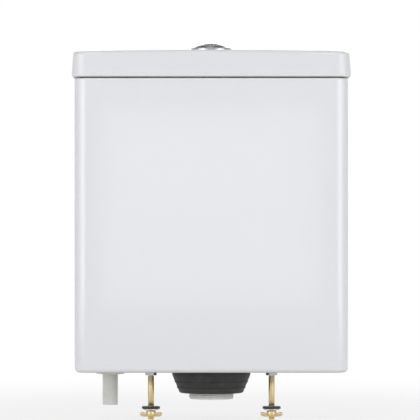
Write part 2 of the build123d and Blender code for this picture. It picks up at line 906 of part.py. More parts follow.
# Silencer tube: hangs from the outlet arm and lets the water in low and quietly
save(
    ring(
        spout_radius,
        spout_radius - spout_wall,
        fill_head_bottom - spout_length,
        fill_head_bottom + fill_head_grip - spout_wall,
        (-fill_offset, spout_offset),
    ),
    "silencer_tube",
)

# Diaphragm: rubber disc between the head and its cap
with BuildPart() as fill_diaphragm:
    with Locations((-fill_offset, 0, fill_head_top)):
        Cylinder(
            diaphragm_radius - part_clearance,
            diaphragm_thickness,
            align=top_down,
        )
save(fill_diaphragm.part, "fill_diaphragm")

# Cap: skirted cover over the head with the pilot boss and the lever's ears
with BuildPart() as fill_cap:
    with Locations((-fill_offset, 0, fill_head_top - cap_skirt)):
        Cylinder(cap_radius, cap_skirt + cap_thickness, align=bottom_up)
        Cylinder(fill_head_radius + push_fit, cap_skirt, align=bottom_up, mode=Mode.SUBTRACT)
    with Locations((-fill_offset, 0, cap_top)):
        Cylinder(pilot_radius, pilot_height, align=bottom_up)
    fill_ear_place = fill_lever_width + 2 * fill_ear_clearance + fill_ear_thickness
    with Locations((fill_pivot_offset - fill_offset, 0, cap_top - fill_ear_top)):
        with GridLocations(0, fill_ear_place, 1, 2):
            Box(
                fill_ear_width,
                fill_ear_thickness,
                fill_pivot_rise + 2 * fill_ear_top,
                align=bottom_up,
            )
    with Locations(Plane.XZ.offset(-fill_ear_place)):
        with Locations((fill_pivot_offset - fill_offset, fill_pivot_level)):
            Hole(fill_lever_pin_radius + hinge_fit, depth=2 * fill_ear_place)
save(fill_cap.part, "fill_cap")

# Pin of the fill lever
with BuildPart() as fill_lever_pin:
    with BuildSketch(Plane.XZ):
        with Locations((fill_pivot_offset - fill_offset, fill_pivot_level)):
            Circle(fill_lever_pin_radius)
    extrude(amount=(fill_ear_place + fill_ear_thickness) / 2, both=True)
save(fill_lever_pin.part, "fill_lever_pin")

# Fill lever: hangs down at its rod end while the tank is empty, with a weight on its tail
fill_lever_plane = Plane(
    (fill_pivot_offset - fill_offset, 0, fill_pivot_level),
    z_dir=(0, -1, 0),
    x_dir=(cos(fill_tilt), 0, -sin(fill_tilt)),
)
with BuildPart() as fill_lever:
    lever_start = -(fill_pivot_offset + fill_lever_tail)
    lever_end = fill_arm + fill_lever_slot
    with BuildSketch(fill_lever_plane):
        with Locations(((lever_start + lever_end) / 2, 0)):
            SlotCenterToCenter(lever_end - lever_start, 2 * fill_lever_half_thickness)
        with Locations((lever_start, 0)):
            Rectangle(
                fill_lever_weight_length,
                fill_lever_weight_height,
                align=(Align.MIN, Align.MIN),
            )
        Circle(fill_lever_boss_radius)
        Circle(fill_lever_pin_radius + hinge_fit, mode=Mode.SUBTRACT)
    extrude(amount=fill_lever_width / 2, both=True)
    with Locations((fill_rod_offset - fill_offset, 0, fill_rod_slot_level)):
        Box(
            fill_lever_slot,
            2 * (fill_rod_radius + part_clearance),
            4 * fill_lever_boss_radius,
            mode=Mode.SUBTRACT,
        )
save(fill_lever.part, "fill_lever")

# Float of the fill valve: inverted cup around the riser with an ear for the rod
with BuildPart() as fill_float:
    add(
        cup_float(
            riser_radius + fill_float_bore_clearance,
            fill_float_radius,
            fill_float_bottom,
            fill_float_height,
            fill_float_wall,
        ).moved(Location((-fill_offset, 0, 0)))
    )
    ear_bottom = fill_float_top_level - fill_float_ear_height
    ear_inner = fill_float_radius - fill_float_wall
    ear_outer = fill_rod_offset + fill_rod_edge
    with Locations((ear_outer - fill_offset, 0, ear_bottom)):
        Box(
            ear_outer - ear_inner,
            fill_float_ear_width,
            fill_float_ear_height,
            align=leftward,
        )
    with Locations((fill_rod_offset - fill_offset, 0, fill_float_top_level)):
        Hole(fill_rod_radius + part_clearance, depth=fill_float_ear_height)
save(fill_float.part, "fill_float")

# Float rod: wire from the float's ear up through the lever's slot, with stops above and below it
with BuildPart() as float_rod:
    rod_foot = ear_bottom - fill_rod_head_height
    rod_head = fill_rod_slot_level + fill_rod_slot_half
    with Locations((fill_rod_offset - fill_offset, 0, rod_foot)):
        Cylinder(fill_rod_radius, rod_head + fill_rod_head_height - rod_foot, align=bottom_up)
        Cylinder(fill_rod_head_radius, fill_rod_head_height, align=bottom_up)
    with Locations((fill_rod_offset - fill_offset, 0, rod_head)):
        Cylinder(fill_rod_head_radius, fill_rod_head_height, align=bottom_up)
    with Locations((fill_rod_offset - fill_offset, 0, fill_rod_slot_level - fill_rod_slot_half)):
        Cylinder(fill_rod_head_radius, fill_rod_head_height, align=top_down)
save(float_rod.part, "float_rod")

save(
    ring(
        fill_clip_radius,
        fill_rod_radius + push_fit,
        fill_float_top_level,
        fill_float_top_level + fill_clip_height,
        (fill_rod_offset - fill_offset, 0),
    ),
    "float_clip",
)

# Coupling bolts: hexagon head inside the tank, full shank where the pan's shelf goes
with BuildPart() as pan_bolts:
    head_level = upper_stack + steel_washer_thickness
    with GridLocations(pan_bolt_spacing, 0, 2, 1):
        with Locations((0, 0, bolt_bottom)):
            Cylinder(bolt_neck_radius, head_level - bolt_bottom, align=bottom_up)
        with Locations((0, 0, end_rubber_top + bolt_neck_margin)):
            Cylinder(
                bolt_radius,
                nut_bottom - end_rubber_top - 2 * bolt_neck_margin,
                align=bottom_up,
            )
    with BuildSketch(Plane.XY.offset(head_level)):
        with GridLocations(pan_bolt_spacing, 0, 2, 1):
            RegularPolygon(bolt_head_flats / 2, 6, major_radius=False)
    extrude(amount=bolt_head_height)
    chamfer(pan_bolts.faces().sort_by(Axis.Z)[:2].edges(), bolt_tip_chamfer)
save(pan_bolts.part, "pan_bolts")

# Cone washers: rubber seals under the bolt heads inside the tank
with BuildPart() as bolt_cone_washers:
    with GridLocations(pan_bolt_spacing, 0, 2, 1):
        with Locations((0, 0, floor_top)):
            Cone(cone_radius, cone_top_radius, cone_height, align=bottom_up)
        with Locations((0, 0, floor_top + cone_height)):
            Hole(bolt_radius + part_clearance, depth=cone_height)
save(bolt_cone_washers.part, "bolt_cone_washers")


def washer_set(radius, thickness, bottoms):
    """Washers of one kind on both coupling bolts, at each of the levels given."""
    with BuildPart() as piece:
        for bottom in bottoms:
            with BuildSketch(Plane.XY.offset(bottom)):
                with GridLocations(pan_bolt_spacing, 0, 2, 1):
                    Circle(radius)
                    Circle(bolt_radius + part_clearance, mode=Mode.SUBTRACT)
            extrude(amount=thickness)
    return piece.part


steel_levels = (upper_stack, lower_steel_bottom, wing_nut_top)
rubber_levels = (lower_rubber_bottom, end_steel_top)
save(washer_set(steel_washer_radius, steel_washer_thickness, steel_levels), "bolt_steel_washers")
save(washer_set(rubber_washer_radius, rubber_washer_thickness, rubber_levels), "bolt_rubber_washers")

# Nuts that lock the bolts to the tank
with BuildPart() as bolt_nuts:
    for side in (-1, 1):
        nut_place = (side * pan_bolt_spacing / 2, 0)
        add(hex_nut(nut_flats, bolt_neck_radius + push_fit, nut_bottom, lower_steel_bottom, nut_place))
save(bolt_nuts.part, "bolt_nuts")

# Wing nuts near the bolts' ends, which clamp the pan's shelf
with BuildPart() as wing_nuts:
    with Locations((0, 0, wing_nut_bottom)):
        with GridLocations(pan_bolt_spacing, 0, 2, 1):
            Cylinder(wing_hub_radius, wing_nut_height, align=bottom_up)
            Box(wing_span, wing_thickness, wing_nut_height - wing_rise, align=bottom_up)
    fillet(wing_nuts.edges().filter_by(Axis.Z), wing_rounding)
    with Locations((0, 0, wing_nut_top)):
        with GridLocations(pan_bolt_spacing, 0, 2, 1):
            Hole(bolt_neck_radius + push_fit, depth=wing_nut_height)
save(wing_nuts.part, "wing_nuts")

print("lever turn, degrees", round(degrees(lever_turn), 3))
print("valve lift", round(valve_lift, 3), "half lift", round(valve_lift, 3))
print("fill lever turn, degrees", round(degrees(2 * fill_tilt), 3), "fill tilt", round(fill_tilt, 4))
print("pivot level", pivot_level, "place", pivot_place, "fill pivot level", fill_pivot_level)
print("lid top", lid_top, "underside of buttons", round(button_underside, 3), "guide top", guide_top)
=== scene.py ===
"""Looks of a close-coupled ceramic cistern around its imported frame.

All sizes are in metres in the frame's own axes: +X right seen from the front, -Y the front, +Z up.
"""
from __future__ import annotations

import json
import logging
from dataclasses import dataclass, field
from enum import Enum
from math import cos, pi, radians, sin, sqrt, tau
from typing import Sequence

import bmesh
import bpy
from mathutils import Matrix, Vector

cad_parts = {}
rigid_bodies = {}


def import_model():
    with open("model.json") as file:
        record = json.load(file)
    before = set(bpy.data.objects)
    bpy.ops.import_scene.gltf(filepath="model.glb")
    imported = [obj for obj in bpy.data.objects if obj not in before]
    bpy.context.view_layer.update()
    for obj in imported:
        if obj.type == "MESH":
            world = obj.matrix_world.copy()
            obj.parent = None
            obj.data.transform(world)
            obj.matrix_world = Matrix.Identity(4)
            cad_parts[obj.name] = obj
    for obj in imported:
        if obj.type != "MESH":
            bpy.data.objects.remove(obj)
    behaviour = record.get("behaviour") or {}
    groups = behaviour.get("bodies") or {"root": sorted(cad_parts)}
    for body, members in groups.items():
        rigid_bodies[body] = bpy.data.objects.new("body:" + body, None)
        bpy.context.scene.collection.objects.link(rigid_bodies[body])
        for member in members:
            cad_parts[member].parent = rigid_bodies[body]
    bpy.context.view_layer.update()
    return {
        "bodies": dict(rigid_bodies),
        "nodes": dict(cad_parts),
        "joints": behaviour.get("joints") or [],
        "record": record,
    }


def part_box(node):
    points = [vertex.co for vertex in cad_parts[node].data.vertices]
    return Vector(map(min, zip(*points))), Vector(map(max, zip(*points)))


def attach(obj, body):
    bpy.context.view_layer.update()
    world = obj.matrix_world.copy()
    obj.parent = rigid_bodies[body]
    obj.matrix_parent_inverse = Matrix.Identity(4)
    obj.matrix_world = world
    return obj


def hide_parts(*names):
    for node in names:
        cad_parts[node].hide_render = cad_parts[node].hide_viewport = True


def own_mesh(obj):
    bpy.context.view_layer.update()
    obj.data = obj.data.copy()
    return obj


LOG = logging.getLogger("cistern")
Point2 = tuple[float, float]
Colour = tuple[float, float, float]
GLAZE_WHITE: Colour = (0.853, 0.866, 0.892)


class Body(Enum):
    """Moving bodies of the frame that pieces ride on."""

    CISTERN = "cistern"
    LID = "lid"
    FULL_BUTTON = "full_button"
    HALF_BUTTON = "half_button"
    FLUSH_TUBE = "flush_tube"


class Slot(Enum):
    """Material slots of the record."""

    CERAMIC = "ceramic"
    CHROME = "chrome"
    WHITE = "white_plastic"
    BLUE = "blue_plastic"
    GREY = "grey_plastic"
    TUBE = "tube_plastic"
    RED = "red_plastic"
    FLOAT = "float_plastic"
    RUBBER = "rubber"
    SILICONE = "silicone"
    CLEAR = "clear_silicone"
    STEEL = "steel"
    ZINC = "zinc_brass"


class Value:
    """A number socket with arithmetic that adds Math nodes to its tree."""

    def __init__(self, sheet: "Sheet", socket: bpy.types.NodeSocket) -> None:
        """Keep the tree and the socket."""
        self.sheet = sheet
        self.socket = socket

    def _math(self, operation: str, *values: object) -> "Value":
        """Add one Math node.

        Args:
            operation: name of the Math node's operation.
            values: its inputs in order, numbers or Value objects.

        Returns:
            The node's output.
        """
        inputs = {number: value for number, value in enumerate(values)}
        node = self.sheet.node("ShaderNodeMath", {"operation": operation}, inputs)
        return Value(self.sheet, node.outputs[0])

    def __add__(self, other: object) -> "Value":
        """Sum."""
        return self._math("ADD", self, other)

    def __radd__(self, other: object) -> "Value":
        """Sum with a number first."""
        return self._math("ADD", other, self)

    def __sub__(self, other: object) -> "Value":
        """Difference."""
        return self._math("SUBTRACT", self, other)

    def __rsub__(self, other: object) -> "Value":
        """Difference with a number first."""
        return self._math("SUBTRACT", other, self)

    def __mul__(self, other: object) -> "Value":
        """Product."""
        return self._math("MULTIPLY", self, other)

    def __rmul__(self, other: object) -> "Value":
        """Product with a number first."""
        return self._math("MULTIPLY", other, self)

    def __truediv__(self, other: object) -> "Value":
        """Quotient."""
        return self._math("DIVIDE", self, other)

    def __lt__(self, other: object) -> "Value":
        """One where this is less than the other, else zero."""
        return self._math("LESS_THAN", self, other)

    def __gt__(self, other: object) -> "Value":
        """One where this is greater than the other, else zero."""
        return self._math("GREATER_THAN", self, other)

    def span(self, low: float, high: float) -> "Value":
        """Smooth step from zero at low to one at high.

        Args:
            low: where the step starts.
            high: where the step ends.

        Returns:
            The stepped value.
        """
        settings = {"interpolation_type": "SMOOTHSTEP"}
        node = self.sheet.node("ShaderNodeMapRange", settings, {0: self, 1: low, 2: high, 3: 0.0, 4: 1.0})
        return Value(self.sheet, node.outputs[0])


class Sheet:
    """A node tree that a finish or the studio writes its shader on."""

    def __init__(self, tree: bpy.types.NodeTree) -> None:
        """Empty the tree."""
        self.tree = tree
        tree.nodes.clear()

    def node(self, kind: str, settings: dict[str, object], inputs: dict[object, object]) -> bpy.types.Node:
        """Add a node.

        Args:
            kind: the node's type.
            settings: attributes set before the sockets, such as an operation.
            inputs: sockets by name or number, each with a number, a colour, a Value or a socket.

        Returns:
            The new node.
        """
        node = self.tree.nodes.new(kind)
        for name, setting in settings.items():
            setattr(node, name, setting)
        for name, value in inputs.items():
            socket = node.inputs[name]
            if isinstance(value, Value):
                self.tree.links.new(value.socket, socket)
            elif isinstance(value, bpy.types.NodeSocket):
                self.tree.links.new(value, socket)
            else:
                socket.default_value = value
        return node

    def place(self) -> bpy.types.NodeSocket:
        """Object coordinates, which stay with the piece as it moves."""
        return self.node("ShaderNodeTexCoord", {}, {}).outputs["Object"]

    def stretched(self, scale: Colour) -> bpy.types.NodeSocket:
        """Object coordinates scaled along each axis."""
        inputs = {"Vector": self.place(), "Scale": scale}
        return self.node("ShaderNodeMapping", {"vector_type": "POINT"}, inputs).outputs[0]

    def axis(self, name: str) -> Value:
        """One object coordinate, "X", "Y" or "Z"."""
        split = self.node("ShaderNodeSeparateXYZ", {}, {0: self.place()})
        return Value(self, split.outputs[name])

    def noise(
        self, scale: float, detail: float, rough: float, where: bpy.types.NodeSocket | None = None
    ) -> Value:
        """Fractal noise.

        Args:
            scale: cells per metre.
            detail: octaves.
            rough: weight of the finer octaves.
            where: coordinates, or the object's own.

        Returns:
            Noise from zero to one.
        """
        inputs = {"Vector": where or self.place(), "Scale": scale, "Detail": detail, "Roughness": rough}
        return Value(self, self.node("ShaderNodeTexNoise", {}, inputs).outputs[0])

    def cells(self, scale: float) -> Value:
        """Distance to the nearest of many scattered points."""
        node = self.node("ShaderNodeTexVoronoi", {"feature": "F1"}, {"Vector": self.place(), "Scale": scale})
        return Value(self, node.outputs["Distance"])

    def blend(self, factor: Value, low: object, high: object) -> bpy.types.NodeSocket:
        """Mix two colours.

        Args:
            factor: zero for the low colour, one for the high one.
            low: a colour or a colour socket.
            high: a colour or a colour socket.

        Returns:
            The mixed colour's socket.
        """
        ends = [(*end, 1.0) if isinstance(end, tuple) else end for end in (low, high)]
        node = self.node("ShaderNodeMix", {"data_type": "RGBA"}, {0: factor, 6: ends[0], 7: ends[1]})
        return node.outputs[2]

    def bump(self, height: Value, distance: float, strength: float = 1.0) -> bpy.types.NodeSocket:
        """Normal of a height field whose full step is the distance in metres."""
        inputs = {"Height": height, "Distance": distance, "Strength": strength}
        return self.node("ShaderNodeBump", {}, inputs).outputs[0]

    def surface(self, inputs: dict[object, object]) -> None:
        """Principled surface into the material's output."""
        shader = self.node("ShaderNodeBsdfPrincipled", {}, inputs)
        self.node("ShaderNodeOutputMaterial", {}, {"Surface": shader.outputs[0]})


def tint(colour: Colour, factor: float) -> Colour:
    """A colour made lighter or darker by a factor, kept inside zero to one."""
    return tuple(min(max(channel * factor, 0.0), 1.0) for channel in colour)


@dataclass(frozen=True)
class Finish:
    """What every finish shares: its name and colour."""

    name: str
    colour: Colour

    def material(self) -> bpy.types.Material:
        """Make the material."""
        made = bpy.data.materials.new(self.name)
        made.use_nodes = True
        made.diffuse_color = (*self.colour, 1.0)
        self.write(Sheet(made.node_tree))
        return made

    def write(self, sheet: Sheet) -> None:
        """Write the finish's nodes; each kind of finish has its own."""
        raise NotImplementedError


@dataclass(frozen=True)
class Glaze(Finish):
    """White glaze over fired clay, thin at the rims and bare under the foot and the lid's edge."""

    bare_low: float = 0.0
    bare_height: float = 0.0016
    clay: Colour = (0.80, 0.765, 0.70)
    ripple: float = 0.00022
    peel: float = 0.000012

    def write(self, sheet: Sheet) -> None:
        """Glaze, its slow ripple and fine peel, a few pinholes and the bare clay band."""
        level = sheet.axis("Z")
        ragged = sheet.noise(160.0, 3.0, 0.6) * 0.0009
        bare = 1.0 - (level - self.bare_low - ragged).span(self.bare_height * 0.55, self.bare_height)
        drift = sheet.noise(7.0, 2.0, 0.5)
        body = sheet.blend(drift, tint(self.colour, 0.988), tint(self.colour, 1.008))
        speck = (sheet.cells(46.0) < 0.012) * (sheet.noise(19.0, 1.0, 0.5) > 0.6)
        body = sheet.blend(speck * 0.35, body, (0.55, 0.5, 0.44))
        grain = sheet.noise(1500.0, 4.0, 0.7)
        clay = sheet.blend(grain, tint(self.clay, 0.9), tint(self.clay, 1.06))
        colour = sheet.blend(bare, body, clay)
        polish = sheet.noise(60.0, 4.0, 0.6)
        roughness = (0.07 + polish * 0.05) * (1.0 - bare) + bare * 0.78
        wave = sheet.noise(11.0, 1.0, 0.4)
        peel = sheet.noise(420.0, 2.0, 0.5)
        normal = sheet.bump(
            wave * (self.ripple * 1000.0)
            + peel * (self.peel * 1000.0)
            + grain * bare * 0.03
            - speck * 0.02,
            0.001,
        )
        sheet.surface(
            {
                "Base Color": colour,
                "Roughness": roughness,
                "Coat Weight": (1.0 - bare) * 0.55,
                "Coat Roughness": 0.03,
                "Coat IOR": 1.5,
                "IOR": 1.5,
                "Normal": normal,
            }
        )


@dataclass(frozen=True)
class Chrome(Finish):
    """Chrome plate of uneven polish with faint wipe marks."""

    def write(self, sheet: Sheet) -> None:
        """Plate, its uneven polish and the hairline marks of wiping."""
        cloud = sheet.noise(90.0, 3.0, 0.6)
        colour = sheet.blend(cloud, tint(self.colour, 0.93), tint(self.colour, 1.04))
        wipe = sheet.noise(130.0, 5.0, 0.75, sheet.stretched((1.0, 9.0, 14.0)))
        marks = wipe.span(0.58, 0.72)
        roughness = 0.15 + cloud * 0.05 + marks * 0.07
        normal = sheet.bump(sheet.noise(34.0, 2.0, 0.5) * 0.02 + marks * 0.002, 0.001)
        sheet.surface({"Base Color": colour, "Metallic": 1.0, "Roughness": roughness, "Normal": normal})


@dataclass(frozen=True)
class Moulded(Finish):
    """Injection moulded plastic: spark-eroded grain, flow lines and slight colour drift."""

    roughness: float = 0.38
    grain: float = 0.03
    milk: float = 0.0

    def write(self, sheet: Sheet) -> None:
        """Plastic body, its grain and the flow of the melt."""
        flow = sheet.noise(26.0, 3.0, 0.55, sheet.stretched((1.0, 1.0, 0.35)))
        colour = sheet.blend(flow, tint(self.colour, 0.93), tint(self.colour, 1.05))
        dust = sheet.noise(240.0, 4.0, 0.7).span(0.62, 0.8)
        colour = sheet.blend(dust * 0.10, colour, (0.62, 0.60, 0.56))
        grain = sheet.noise(2600.0, 2.0, 0.5)
        roughness = self.roughness + flow * 0.10 + dust * 0.12 - 0.04
        normal = sheet.bump(grain * self.grain + flow * 0.06, 0.001)
        sheet.surface(
            {
                "Base Color": colour,
                "Roughness": roughness,
                "IOR": 1.49,
                "Subsurface Weight": self.milk,
                "Subsurface Scale": 0.002,
                "Normal": normal,
            }
        )


@dataclass(frozen=True)
class Rubber(Finish):
    """Moulded rubber with bloom, pits and a dull skin."""

    roughness: float = 0.62
    sheen: float = 0.15

    def write(self, sheet: Sheet) -> None:
        """Rubber, its pale bloom and pitted skin."""
        bloom = sheet.noise(75.0, 5.0, 0.65).span(0.42, 0.78)
        colour = sheet.blend(bloom * 0.5, self.colour, tint(tuple(c + 0.05 for c in self.colour), 1.25))
        pits = 1.0 - sheet.cells(900.0).span(0.0, 0.35)
        grain = sheet.noise(1400.0, 4.0, 0.7)
        normal = sheet.bump(grain * 0.05 - pits * 0.05, 0.001)
        sheet.surface(
            {
                "Base Color": colour,
                "Roughness": self.roughness + bloom * 0.2,
                "Sheen Weight": self.sheen,
                "Sheen Roughness": 0.5,
                "IOR": 1.5,
                "Normal": normal,
            }
        )


@dataclass(frozen=True)
class DrawnSteel(Finish):
    """Stainless wire and sheet with the fine lines of drawing and rolling."""

    lines: Colour = (40.0, 40.0, 900.0)

    def write(self, sheet: Sheet) -> None:
        """Steel, its draw lines and dull patches."""
        draw = sheet.noise(3.0, 4.0, 0.7, sheet.stretched(self.lines))
        cloud = sheet.noise(120.0, 3.0, 0.6)
        colour = sheet.blend(draw, tint(self.colour, 0.82), tint(self.colour, 1.12))
        roughness = 0.22 + draw * 0.16 + cloud * 0.08
        normal = sheet.bump(draw * 0.02, 0.001)
        sheet.surface({"Base Color": colour, "Metallic": 1.0, "Roughness": roughness, "Normal": normal})


@dataclass(frozen=True)
class PlatedZinc(Finish):
    """Yellow passivated zinc: gold with drifting pink and green, duller in the hollows."""

    rose: Colour = (0.72, 0.50, 0.40)
    leaf: Colour = (0.60, 0.66, 0.36)

    def write(self, sheet: Sheet) -> None:
        """Plating, its drifting colours and crystalline grain."""
        drift = sheet.noise(85.0, 3.0, 0.6)
        other = sheet.noise(61.0, 2.0, 0.5, sheet.stretched((1.0, 1.3, 0.8)))
        colour = sheet.blend(drift.span(0.45, 0.75) * 0.55, self.colour, self.rose)
        colour = sheet.blend(other.span(0.5, 0.8) * 0.4, colour, self.leaf)
        spangle = sheet.cells(1200.0)
        roughness = 0.26 + drift * 0.14 + spangle * 0.08
        normal = sheet.bump(spangle * 0.025, 0.001)
        sheet.surface({"Base Color": colour, "Metallic": 1.0, "Roughness": roughness, "Normal": normal})


def finishes() -> dict[Slot, bpy.types.Material]:
    """Make one material for each slot of the record."""
    kinds: dict[Slot, Finish] = {
        Slot.CERAMIC: Glaze("tank_glaze", GLAZE_WHITE),
        Slot.CHROME: Chrome("bright_chrome", (0.52, 0.523, 0.53)),
        Slot.WHITE: Moulded("white_moulding", (0.80, 0.80, 0.775), 0.36),
        Slot.BLUE: Moulded("blue_moulding", (0.055, 0.175, 0.46), 0.34),
        Slot.GREY: Moulded("grey_moulding", (0.36, 0.38, 0.40), 0.40),
        Slot.TUBE: Moulded("tube_moulding", (0.74, 0.77, 0.77), 0.20, 0.012, 0.25),
        Slot.RED: Moulded("red_moulding", (0.50, 0.028, 0.022), 0.34),
        Slot.FLOAT: Moulded("float_moulding", (0.032, 0.034, 0.038), 0.42, 0.05),
        Slot.RUBBER: Rubber("black_rubber", (0.022, 0.022, 0.024)),
        Slot.SILICONE: Rubber("seal_silicone", (0.62, 0.17, 0.06), 0.40, 0.05),
        Slot.CLEAR: Rubber("pad_silicone", (0.66, 0.67, 0.68), 0.34, 0.05),
        Slot.STEEL: DrawnSteel("drawn_steel", (0.62, 0.62, 0.61)),
        Slot.ZINC: PlatedZinc("plated_zinc", (0.74, 0.60, 0.30)),
    }
    return {slot: finish.material() for slot, finish in kinds.items()}


class Solid:
    """A mesh under construction, made of closed shells."""

    def __init__(self) -> None:
        """Start with no faces."""
        self.mesh = bmesh.new()

    def lathe(self, outline: Sequence[Point2], turns: int = 96, centre: Point2 = (0.0, 0.0)) -> "Solid":
        """Turn a closed outline around a vertical axis.

        Args:
            outline: (radius, height) points, in order around the section.
            turns: steps around the axis.
            centre: the axis's place.

        Returns:
            This solid.
        """
        rings = []
        for step in range(turns):
            angle = tau * step / turns
            ring = [
                self.mesh.verts.new((centre[0] + r * cos(angle), centre[1] + r * sin(angle), z))
                for r, z in outline
            ]
            rings.append(ring)
        self._stitch(rings, True)
        return self

    def ring(
        self,
        near: float,
        far: float,
        low: float,
        high: float,
        turns: int = 96,
        centre: Point2 = (0.0, 0.0),
    ) -> "Solid":
        """A plain ring between two radii and two levels.

        Args:
            near: its inner radius.
            far: its outer radius.
            low: its lower level.
            high: its upper level.
            turns: steps around the axis.
            centre: the axis's place.

        Returns:
            This solid.
        """
        return self.lathe([(near, low), (far, low), (far, high), (near, high)], turns, centre)

    def _stitch(self, rings: list[list[bmesh.types.BMVert]], closed: bool) -> None:
        """Join neighbouring rings of vertices with quads."""
        count = len(rings)
        for number in range(count if closed else count - 1):
            near, far = rings[number], rings[(number + 1) % count]
            for place in range(len(near)):
                after = (place + 1) % len(near)
                self.mesh.faces.new((near[place], far[place], far[after], near[after]))

    def coil(
        self, radius: float, wire: float, low: float, high: float, turns: float, centre: Point2
    ) -> "Solid":
        """Wind a wire spring whose first and last turns lie closed.

        Args:
            radius: from the axis to the wire's middle.
            wire: the wire's radius.
            low: level of the wire's middle at the foot.
            high: level of the wire's middle at the head.
            turns: turns in all, the two closed ones included.
            centre: the axis's place.

        Returns:
            This solid.
        """
        steps, sides = int(turns * 32), 10
        closed = 2.1 * wire
        slope = (high - low - 2 * closed) / (turns - 2)
        rings = []
        for step in range(steps + 1):
            turn = turns * step / steps
            level = low + closed * min(turn, 1.0) + slope * min(max(turn - 1.0, 0.0), turns - 2)
            level += closed * max(turn - turns + 1.0, 0.0)
            angle = tau * turn
            ring = []
            for side in range(sides):
                tilt = tau * side / sides
                reach, rise = radius + wire * cos(tilt), wire * sin(tilt)
                place = (centre[0] + reach * cos(angle), centre[1] + reach * sin(angle), level + rise)
                ring.append(self.mesh.verts.new(place))
            rings.append(ring)
        self._stitch(rings, False)
        self.mesh.faces.new(rings[0])
        self.mesh.faces.new(rings[-1][::-1])
        return self

    def prism(self, outline: Sequence[Point2], low: float, high: float) -> "Solid":
        """Stand a plan outline up between two levels.

        Args:
            outline: plan points in order.
            low: the lower level.
            high: the upper level.

        Returns:
            This solid.
        """
        foot = [self.mesh.verts.new((x, y, low)) for x, y in outline]
        head = [self.mesh.verts.new((x, y, high)) for x, y in outline]
        self._stitch([foot, head], False)
        self.mesh.faces.new(list(reversed(foot)))
        self.mesh.faces.new(head)
        return self

    def slab(self, outline: Sequence[Point2], low: float, high: float) -> "Solid":
        """Stand an upright (x, z) outline between two depths, from low to high y."""
        front = [self.mesh.verts.new((x, low, z)) for x, z in outline]
        rear = [self.mesh.verts.new((x, high, z)) for x, z in outline]
        self._stitch([front, rear], False)
        self.mesh.faces.new(list(reversed(front)))
        self.mesh.faces.new(rear)
        return self

    def thread(self, shape: "Thread", low: float, high: float, centre: Point2 = (0.0, 0.0)) -> "Solid":
        """A tube with a real helical thread outside and a plain bore.

        Args:
            shape: the thread's sizes.
            low: its lower end.
            high: its upper end.
            centre: the axis's place.

        Returns:
            This solid.
        """
        rows = max(int((high - low) / shape.pitch * shape.rows), 4)
        rings = []
        for step in range(shape.turns):
            angle = tau * step / shape.turns
            ring = []
            for row in range(rows + 1):
                z = low + (high - low) * row / rows
                radius = shape.radius_at(z - low, high - z, angle)
                ring.append(self.mesh.verts.new(self._polar(centre, radius, angle, z)))
            ring.append(self.mesh.verts.new(self._polar(centre, shape.bore, angle, high)))
            ring.append(self.mesh.verts.new(self._polar(centre, shape.bore, angle, low)))
            rings.append(ring)
        self._stitch(rings, True)
        return self

    @staticmethod
    def _polar(centre: Point2, radius: float, angle: float, z: float) -> tuple[float, float, float]:
        """A point at a radius and an angle from a vertical axis."""
        return (centre[0] + radius * cos(angle), centre[1] + radius * sin(angle), z)

    def block(
        self,
        near: float,
        far: float,
        width: float,
        low: float,
        high: float,
        turn: float,
        centre: Point2 = (0.0, 0.0),
    ) -> "Solid":
        """A radial block, such as a lug, a rib or a post.

        Args:
            near: radius of its inner end.
            far: radius of its outer end.
            width: its width across the radius.
            low: its lower level.
            high: its upper level.
            turn: its place around the axis in degrees.
            centre: the axis's place.

        Returns:
            This solid.
        """
        along = (cos(radians(turn)), sin(radians(turn)))
        corners = ((near, -width / 2), (far, -width / 2), (far, width / 2), (near, width / 2))
        plan = [
            (centre[0] + r * along[0] - w * along[1], centre[1] + r * along[1] + w * along[0])
            for r, w in corners
        ]
        return self.prism(plan, low, high)

    def weld(self) -> "Solid":
        """Join vertices that coincide, such as those on a lathe's axis."""
        bmesh.ops.remove_doubles(self.mesh, verts=self.mesh.verts[:], dist=1e-7)
        return self

    def take(self, other: "Solid") -> None:
        """Add another solid's faces and empty it."""
        data = bpy.data.meshes.new("part")
        other.mesh.to_mesh(data)
        other.mesh.free()
        self.mesh.from_mesh(data)
        bpy.data.meshes.remove(data)

    def cut(self, point: Sequence[float], normal: Sequence[float]) -> "Solid":
        """Cut away what lies on the normal's side of a plane and close the cut.

        Args:
            point: a point on the plane.
            normal: the plane's normal, towards the part cut away.

        Returns:
            This solid.
        """
        geometry = self.mesh.verts[:] + self.mesh.edges[:] + self.mesh.faces[:]
        bmesh.ops.bisect_plane(
            self.mesh, geom=geometry, plane_co=point, plane_no=normal, clear_outer=True, dist=1e-7
        )
        rims = [edge for edge in self.mesh.edges if edge.is_boundary]
        bmesh.ops.contextual_create(self.mesh, geom=rims)
        return self

    def ease(self, width: float, segments: int = 2, sharp: float = 32.0) -> "Solid":
        """Round the sharp edges.

        Args:
            width: how far the rounding reaches from each edge.
            segments: steps across it.
            sharp: least angle in degrees between the faces of an edge that is rounded.

        Returns:
            This solid.
        """
        bmesh.ops.recalc_face_normals(self.mesh, faces=self.mesh.faces[:])
        least = radians(sharp)
        edges = [e for e in self.mesh.edges if len(e.link_faces) == 2 and e.calc_face_angle(0.0) > least]
        bmesh.ops.bevel(
            self.mesh,
            geom=edges,
            offset=width,
            segments=segments,
            profile=0.5,
            affect="EDGES",
            clamp_overlap=True,
        )
        return self

